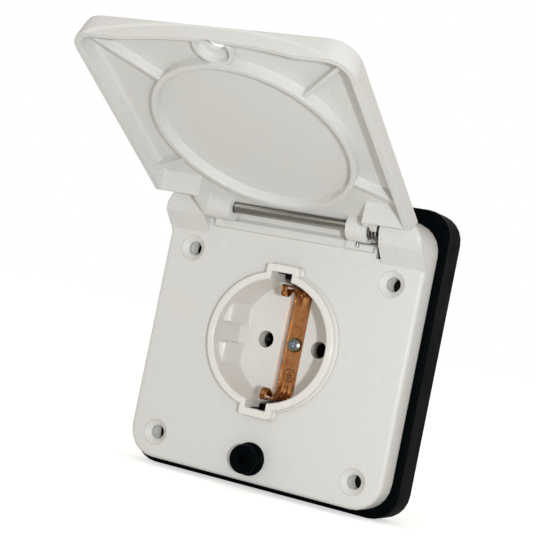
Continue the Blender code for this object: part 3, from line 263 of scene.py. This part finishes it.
def lid_panel(look):
    """The lid's inner panel inside the ring, which has a duller, finer surface."""
    spot = look.node("TexCoord", out="Object")
    terms = {
        "Vector": spot,
        "Location": (0.0, HINGE_Y, HINGE_Z),
        "Rotation": (-LID_OPEN, 0.0, 0.0),
        "Scale": (1.0, 1.0, 1.0),
    }
    shut = look.node("Mapping", {"vector_type": "TEXTURE"}, terms)
    x, _, z = look.axes(shut)
    along = z + RING_FROM_HINGE
    far = (x * x + along * along).root()
    return 1.0 - look.ease(far, RING_INNER - 0.0012, RING_INNER - 0.0004)


def floor_step(look):
    """The low step round the middle of the well's floor."""
    x, y, z = look.axes(look.node("TexCoord", out="Object"))
    far = (x * x + z * z).root()
    on_floor = look.ease(y, WELL_FLOOR - 0.0012, WELL_FLOOR - 0.0006)
    return look.ease(far, FLOOR_RING - 0.0003, FLOOR_RING + 0.0003) * on_floor


def from_screws(look, x, z):
    """How far a point lies from the nearest screw hole's axis."""
    off = x.size() - SCREW_X
    near = (z - SCREW_LOW_Z).size().least((z - SCREW_HIGH_Z).size())
    return (off * off + near * near).root()


def sink_edges(look):
    """A thin darker line round each countersunk hole."""
    x, _, z = look.axes(look.node("TexCoord", out="Object"))
    gap = (from_screws(look, x, z) - SCREW_SINK).size()
    return 1.0 - look.ease(gap, 0.00004, 0.00016)


def screw_ways(look):
    """The walls of the four screw holes, which are lined with the plate's white plastic."""
    x, y, z = look.axes(look.node("TexCoord", out="Object"))
    far = from_screws(look, x, z)
    inside = 1.0 - look.ease(far, SCREW_BORE + 0.0001, SCREW_BORE + 0.0002)
    return inside * (1.0 - look.ease(y, SCREW_WHITE_END - 0.0001, SCREW_WHITE_END))


def black_rubber(name, dusty, lined=None):
    """Black rubber with a dull bloom, a fine grain and a painted bluish sheen on its corners."""
    look = Finish(name, {"IOR": 1.45, "Specular IOR Level": 0.018})
    spot = look.place()
    cloud = look.noise(spot, 60.0, 3.0, 0.6)
    fine = look.noise(spot, 2600.0, 3.0, 0.65)
    bloom = look.ease(look.noise(spot, 240.0, 4.0, 0.7), 0.52, 0.78)
    corners = look.soft_corners(0.00030)
    edge_glint_and_wear = look.corner_share(corners)
    colour = look.blend(cloud, rgba(2, 5, 6), rgba(6, 10, 12))
    colour = look.blend(bloom * dusty, colour, rgba(20, 28, 31))
    # painted sheen: corners turn a pale blue
    colour = look.blend(edge_glint_and_wear * 0.4, colour, rgba(18, 25, 38))
    if lined:
        colour = look.blend(lined(look), colour, rgba(240, 237, 231))
    look.set("Base Color", colour)
    look.set("Roughness", look.ease(cloud, 0.3, 0.7, 0.36, 0.50) + bloom * 0.14)
    look.set("Normal", look.relief(fine + bloom * 0.4, 0.00004, 0.4, corners))
    return look.material


def stamped_mark(look, x, z):
    """Where the strap's round stamp is pressed in: a ring with a stem and three bars."""
    across = x
    along = z - MARK_Z
    far = (across * across + along * along).root()
    line = 0.00016

    def stroke(gap):
        return 1.0 - look.ease(gap, line * 0.6, line * 1.6)

    ring = stroke((far - MARK_R).size())
    marks = ring
    for level, reach in ((0.00015, 0.0012), (-0.00055, 0.0008), (-0.00125, 0.0004)):
        beyond = across.size() - reach
        marks = marks.most(stroke((along - level).size().most(beyond)))
    stem_low, stem_high = 0.00015, 0.0014
    middle = (stem_low + stem_high) / 2
    over = (along - middle).size() - (stem_high - middle)
    return marks.most(stroke(across.size().most(over)))


def rolled_copper(name):
    """Copper strip: rolled sheen along its length, brown tarnish, one round stamp, painted dark
    reflections and highlights streaked over its bends, and edges painted bright as highlights
    and wear.
    """
    look = Finish(name, {"Metallic": 1.0})
    spot = look.place()
    x, y, z = look.axes(spot)
    rolled = look.noise(look.place((1.0, 1.0, 0.05)), 2600.0, 3.0, 0.6)
    patches = look.noise(spot, 230.0, 4.0, 0.62, 1.2)
    specks = look.ease(look.noise(spot, 1100.0, 2.0, 0.6), 0.66, 0.78)
    corners = look.soft_corners(0.00016)
    edge_glint_and_wear = look.corner_share(corners)
    ends = look.ease(z.size(), STRAP_BEND - 0.004, STRAP_BEND + 0.001)
    tarnish = look.ease(patches + ends * 0.06, 0.44, 0.74)
    bend_reflections = look.noise(look.place((1.0, 1.0, 0.06)), 1000.0, 1.0, 0.5)
    mark = stamped_mark(look, x, z)
    colour = look.blend(rolled, rgba(182, 124, 78), rgba(204, 145, 94))
    colour = look.blend(tarnish * 0.80, colour, rgba(130, 74, 38))
    # painted reflections: dark and bright streaks over the bends near the strap's ends
    colour = look.blend(ends * look.ease(bend_reflections, 0.54, 0.44) * 0.8, colour, rgba(96, 50, 24))
    colour = look.blend(ends * look.ease(bend_reflections, 0.56, 0.66) * 0.8, colour, rgba(255, 186, 122))
    colour = look.blend(specks * 0.5, colour, rgba(74, 44, 28))
    colour = look.blend(mark * 0.70, colour, rgba(92, 54, 32))
    # painted highlight, partly wear: edges turn a bright orange
    colour = look.blend(edge_glint_and_wear * 0.55, colour, rgba(248, 178, 116))
    look.set("Base Color", colour)
    look.set("Roughness", look.ease(rolled, 0.3, 0.7, 0.20, 0.30) + tarnish * 0.12)
    height = rolled * 0.4 + patches * 0.4 - mark * 2.5
    look.set("Normal", look.relief(height, 0.00004, 0.45, corners))
    return look.material


def drawn_steel(name, stretch, tone, rough, reflection_share=0.0, highlight_band=None):
    """Steel with fine lines along the way that it was drawn, a few dull patches, painted dark
    and bright reflection bands and, if given, a painted highlight band.
    """
    look = Finish(name, {"Metallic": 1.0})
    spot = look.place()
    lines = look.noise(look.place(stretch), 2400.0, 3.0, 0.65)
    reflection_bands = look.noise(look.place(stretch), 900.0, 1.0, 0.5)
    patches = look.noise(spot, 300.0, 3.0, 0.6)
    corners = look.soft_corners(0.00010)
    low = tuple(0.74 * level for level in tone[:3]) + (1.0,)
    colour = look.blend(look.ease(lines, 0.36, 0.64), low, tone)
    # painted reflections: broad dark and bright bands along the steel
    colour = look.blend(look.ease(reflection_bands, 0.60, 0.40) * reflection_share, colour, rgba(96, 94, 90))
    colour = look.blend(look.ease(reflection_bands, 0.60, 0.70) * reflection_share, colour, rgba(246, 244, 238))
    colour = look.blend(look.ease(patches, 0.55, 0.75) * 0.25, colour, rgba(132, 124, 112))
    # painted highlight along the band that the given mask picks out
    if highlight_band:
        colour = look.blend(highlight_band(look) * 0.85, colour, rgba(252, 250, 246))
    look.set("Base Color", colour)
    look.set("Roughness", look.ease(lines, 0.3, 0.7, rough, rough + 0.10))
    look.set("Normal", look.relief(lines, 0.00001, 0.4, corners))
    return look.material


def rod_highlight(look):
    """The band along the rod's upper front where a highlight is painted."""
    _, y, z = look.axes(look.node("TexCoord", out="Object"))
    up = z - HINGE_Z
    wave = look.noise(look.place((0.15, 1.0, 1.0)), 700.0, 2.0, 0.5)
    off = (up - 0.00062 + wave * 0.0003).size()
    front = look.ease(y - HINGE_Y, 0.0002, -0.0002)
    return (1.0 - look.ease(off, 0.00008, 0.00034)) * front


def plated_screw(name):
    """A zinc-plated screw head: turning rings, a slightly yellow rim, a bluish middle and a ring
    of painted shade.
    """
    look = Finish(name, {"Metallic": 1.0})
    spot = look.place()
    x, _, z = look.axes(spot)
    far = (x * x + z * z).root()
    rings = look.noise(look.node("CombineXYZ", terms={0: far}), 5200.0, 2.0, 0.6)
    fine = look.noise(spot, 2400.0, 3.0, 0.6)
    rim = look.ease(far, 0.0010, 0.0018)
    groove_shade = 1.0 - look.ease((far - 0.0011).size(), 0.0001, 0.0003)
    colour = look.blend(rim, rgba(150, 160, 178), rgba(146, 145, 128))
    # painted shade: a dark ring standing for the shade in a ring groove
    colour = look.blend(groove_shade * 0.7, colour, rgba(92, 94, 92))
    colour = look.blend(look.ease(fine, 0.50, 0.74) * 0.45, colour, rgba(112, 110, 102))
    look.set("Base Color", colour)
    look.set("Roughness", look.ease(fine, 0.3, 0.7, 0.24, 0.36))
    height = rings + fine * 0.3
    look.set("Normal", look.relief(height, 0.00001, 0.5, look.soft_corners(0.00010)))
    return look.material


def turned_brass(name):
    """Brass with turning marks and a brown film, painted nearly black inside the sleeves as
    shade.
    """
    look = Finish(name, {"Metallic": 1.0})
    spot = look.place()
    x, _, z = look.axes(spot)
    off = x.size() - PIN_X
    far = (off * off + z * z).root()
    bore = 1.0 - look.ease(far, PIN_BORE + 0.0004, PIN_BORE + 0.0006)
    lines = look.noise(look.place((1.0, 0.06, 1.0)), 2200.0, 3.0, 0.6)
    film = look.ease(look.noise(spot, 200.0, 4.0, 0.6), 0.42, 0.70)
    colour = look.blend(lines, rgba(196, 160, 84), rgba(214, 180, 104))
    colour = look.blend(film * 0.7, colour, rgba(120, 90, 48))
    # painted shade: nearly black inside the sleeves' bores
    colour = look.blend(bore * 0.985, colour, rgba(11, 11, 11))
    look.set("Base Color", colour)
    look.set("Roughness", look.ease(lines, 0.3, 0.7, 0.26, 0.38) + film * 0.12)
    look.set("Normal", look.relief(lines, 0.00003, 0.4, look.soft_corners(0.00015)))
    return look.material


def grey_insulation(name):
    """Dark grey moulding of the rear body, with a coarse grain and pale rubbed corners."""
    look = Finish(name, {"IOR": 1.5})
    spot = look.place()
    cloud = look.noise(spot, 70.0, 3.0, 0.6)
    fine = look.noise(spot, 1700.0, 3.0, 0.65)
    corners = look.soft_corners(0.00035)
    edge_glint_and_wear = look.corner_share(corners)
    colour = look.blend(cloud, rgba(74, 76, 80), rgba(88, 90, 94))
    colour = look.blend(look.ease(fine, 0.60, 0.78) * 0.25, colour, rgba(112, 112, 112))
    colour = look.blend(edge_glint_and_wear * 0.45, colour, rgba(122, 124, 128))
    look.set("Base Color", colour)
    look.set("Roughness", look.ease(cloud, 0.3, 0.7, 0.46, 0.60))
    look.set("Normal", look.relief(fine, 0.00006, 0.6, corners))
    return look.material


def corner_group():
    """Nodes that weld a part's loose triangles and shade its curves smooth."""
    group = bpy.data.node_groups.new("smooth_curves", "GeometryNodeTree")
    group.interface.new_socket("Mesh", in_out="INPUT", socket_type="NodeSocketGeometry")
    group.interface.new_socket("Mesh", in_out="OUTPUT", socket_type="NodeSocketGeometry")
    start = group.nodes.new("NodeGroupInput")
    end = group.nodes.new("NodeGroupOutput")
    weld = group.nodes.new("GeometryNodeMergeByDistance")
    weld.inputs["Distance"].default_value = WELD_GAP
    angle = group.nodes.new("GeometryNodeInputMeshEdgeAngle")
    sharp = group.nodes.new("FunctionNodeCompare")
    sharp.operation = "GREATER_THAN"
    sharp.inputs["B"].default_value = SHARP_ANGLE
    shade = group.nodes.new("GeometryNodeSetMeshNormal")
    shade.mode = "SHARPNESS"
    shade.inputs["Remove Custom"].default_value = True
    shade.inputs["Face Sharpness"].default_value = False
    join = group.links.new
    join(start.outputs[0], weld.inputs["Geometry"])
    join(weld.outputs["Geometry"], shade.inputs["Mesh"])
    join(angle.outputs["Unsigned Angle"], sharp.inputs["A"])
    join(sharp.outputs["Result"], shade.inputs["Edge Sharpness"])
    join(shade.outputs["Mesh"], end.inputs[0])
    return group


def dress(name, material, group):
    """Give a part its finish, smooth curves and even flats."""
    piece = nodes[name]
    piece.material_slots[0].material = material
    smooth = piece.modifiers.new("Smooth curves", "NODES")
    smooth.node_group = group
    even = piece.modifiers.new("Even flats", "WEIGHTED_NORMAL")
    even.keep_sharp = True
    even.weight = 80


def lid_point(x, along, depth):
    """A point of the open lid: how far from its hinge, and how deep under its rim."""
    up = LID_RIM - depth
    y = HINGE_Y - along * math.sin(LID_OPEN) + up * math.cos(LID_OPEN)
    z = HINGE_Z - along * math.cos(LID_OPEN) - up * math.sin(LID_OPEN)
    return Vector((x, y, z))


def lip_place(x, outer, foot):
    """Where the scoop's lip has a corner: on its outer or inner side, at its foot or top."""
    bore = KNOB_BORE * KNOB_BORE - x * x
    inner = max(LIP_INNER, KNOB_ALONG + math.sqrt(max(bore, 0.0)))
    along = LIP_OUTER if outer else inner
    top = max(LIP_UNDER_RIM, LIP_DIP * (1.0 - (x / LIP_HALF) ** 2))
    cone = SCOOP_DEEP + (along - SCOOP_START) * SCOOP_SLOPE - x * x / SCOOP_BEND
    sunk = max(cone + LIP_SUNK, top + LIP_THIN)
    return lid_point(x, along, sunk if foot else top)


def scoop_lip(material):
    """The thin wall of the lid that stands between the knob's bore and the finger scoop."""
    bm = bmesh.new()
    bmesh.ops.create_cube(bm, size=2.0)
    long_edges = [e for e in bm.edges if abs(e.verts[0].co.x - e.verts[1].co.x) > 1.0]
    bmesh.ops.subdivide_edges(bm, edges=long_edges, cuts=LIP_CUTS)
    for vert in bm.verts:
        vert.co = lip_place(vert.co.x * LIP_END, vert.co.y > 0.0, vert.co.z < 0.0)
    bmesh.ops.recalc_face_normals(bm, faces=bm.faces)
    mesh = bpy.data.meshes.new("scoop_lip")
    bm.to_mesh(mesh)
    bm.free()
    lip = bpy.data.objects.new("scoop_lip", mesh)
    bpy.context.scene.collection.objects.link(lip)
    mesh.materials.append(material)
    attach(lip, "lid")
    return lip


def dress_all():
    """Finish every part of the socket."""
    group = corner_group()
    plain = (rgba(222, 220, 215), rgba(220, 220, 218))
    warm = (rgba(233, 228, 221), rgba(231, 227, 221))
    bright = rgba(252, 252, 252)
    pale = rgba(244, 242, 236)
    well_white = moulded_white("well_white", 0.13, 0.1, warm, 0.0004, bright, step=floor_step)
    lid_white = moulded_white("lid_white", 0.30, 0.3, plain, 0.0003, pale, matte=lid_panel)
    plate_white = moulded_white("plate_white", 0.27, 0.3, plain, 0.0002, pale, dark_lines=sink_edges)
    frame_rubber = black_rubber("frame_rubber", 0.15, screw_ways)
    knob_rubber = black_rubber("knob_rubber", 0.12)
    copper = rolled_copper("strap_copper")
    along_rod = (0.02, 1.0, 1.0)
    rod_tone = rgba(186, 183, 176)
    rod_steel = drawn_steel("rod_steel", along_rod, rod_tone, 0.20, 0.7, rod_highlight)
    spring_steel = drawn_steel("spring_steel", (1.0, 1.0, 1.0), rgba(150, 147, 142), 0.28)
    zinc = drawn_steel("screw_zinc", (1.0, 1.0, 1.0), rgba(188, 190, 190), 0.20)
    head = plated_screw("earth_screw_zinc")
    brass = turned_brass("contact_brass")
    grey = grey_insulation("rear_grey")
    finishes = {
        plate_white: ["base_plate"],
        well_white: ["socket_cup"],
        lid_white: ["lid"],
        frame_rubber: ["gasket", "cable_grommet"],
        knob_rubber: ["latch_knob"],
        copper: ["earth_strap"],
        rod_steel: ["hinge_rod"],
        spring_steel: ["hinge_spring_left", "hinge_spring_right"],
        head: ["earth_screw"],
        zinc: [
            "live_terminal_screw",
            "neutral_terminal_screw",
            "earth_terminal_screw",
            "carrier_screw_lower",
            "carrier_screw_upper",
            "cover_screw_left",
            "cover_screw_right",
        ],
        brass: ["live_contact", "neutral_contact", "earth_terminal"],
        grey: ["contact_carrier", "rear_cover"],
    }
    for material, names in finishes.items():
        for name in names:
            dress(name, material, group)
    scoop_lip(lid_white)


def studio_floor():
    """A pale floor under the socket, which keeps its shadow."""
    bm = bmesh.new()
    bmesh.ops.create_grid(bm, x_segments=1, y_segments=1, size=FLOOR_HALF)
    bmesh.ops.translate(bm, verts=bm.verts, vec=(0.0, 0.0, FLOOR_Z))
    mesh = bpy.data.meshes.new("studio_floor")
    bm.to_mesh(mesh)
    bm.free()
    floor = bpy.data.objects.new("studio_floor", mesh)
    bpy.context.scene.collection.objects.link(floor)
    look = Finish("pale_floor", {"Roughness": 0.9, "Specular IOR Level": 0.1})
    spot = look.place()
    tone = look.blend(look.noise(spot, 6.0), rgba(236, 236, 234), rgba(240, 240, 239))
    look.set("Base Color", tone)
    seen = look.node("LightPath", out="Is Camera Ray")
    plain = look.node("Emission", terms={"Color": WHITE, "Strength": FLOOR_GLOW})
    own = Value(look, look.shader.outputs[0])
    both = look.node("AddShader", terms={0: own, 1: plain})
    mixed = look.node("MixShader", terms={0: seen, 1: own, 2: both})
    finish = look.tree.nodes["Material Output"]
    look.tree.links.new(mixed.socket, finish.inputs["Surface"])
    mesh.materials.append(look.material)


def studio_light():
    """Soft light from all round, and one lamp from the right at the camera's height."""
    world = bpy.data.worlds.new("studio")
    world.use_nodes = True
    bpy.context.scene.world = world
    tree = world.node_tree
    fill = tree.nodes["Background"]
    fill.inputs["Color"].default_value = FILL_COLOUR
    fill.inputs["Strength"].default_value = FILL_STRENGTH
    white = tree.nodes.new("ShaderNodeBackground")
    white.inputs["Color"].default_value = WHITE
    white.inputs["Strength"].default_value = 1.0
    path = tree.nodes.new("ShaderNodeLightPath")
    mix = tree.nodes.new("ShaderNodeMixShader")
    tree.links.new(path.outputs["Is Camera Ray"], mix.inputs[0])
    tree.links.new(fill.outputs[0], mix.inputs[1])
    tree.links.new(white.outputs[0], mix.inputs[2])
    tree.links.new(mix.outputs[0], tree.nodes["World Output"].inputs["Surface"])

    aim = Vector((0.0, FACE, 0.0))
    level = Vector((math.sin(KEY_AZIMUTH), -math.cos(KEY_AZIMUTH), 0.0))
    away = (level + Vector((0.0, 0.0, math.tan(KEY_HEIGHT)))).normalized()
    lamp = bpy.data.lights.new("key_lamp", "AREA")
    lamp.shape = "DISK"
    lamp.size = KEY_SIZE
    lamp.energy = KEY_WATTS
    lamp.color = KEY_COLOUR
    key = bpy.data.objects.new("key_lamp", lamp)
    key.location = aim + away * KEY_AWAY
    key.rotation_euler = away.to_track_quat("Z", "Y").to_euler()
    bpy.context.scene.collection.objects.link(key)


def studio_camera():
    """The photograph's camera: level with the socket, to its right, and tilted sideways."""
    camera = bpy.data.cameras.new("camera")
    camera.sensor_width = 36.0
    camera.lens = LENS
    camera.clip_start = 0.01
    holder = bpy.data.objects.new("camera", camera)
    turn = Matrix(
        (
            (0.8785463585616677, -0.16363680685522525, 0.448753040435671),
            (0.43412416022328365, -0.11831446710869775, -0.8930497748632007),
            (0.19922979036394636, 0.9794001645471633, -0.032906052885866344),
        )
    )
    spot = Vector((0.19080922682876617, -0.4136762623920101, 0.007855148095874419))
    holder.matrix_world = Matrix.Translation(spot) @ turn.to_4x4()
    bpy.context.scene.collection.objects.link(holder)
    bpy.context.scene.camera = holder


bpy.context.scene.view_settings.view_transform = "Standard"
studio_camera()
studio_light()
studio_floor()
dress_all()
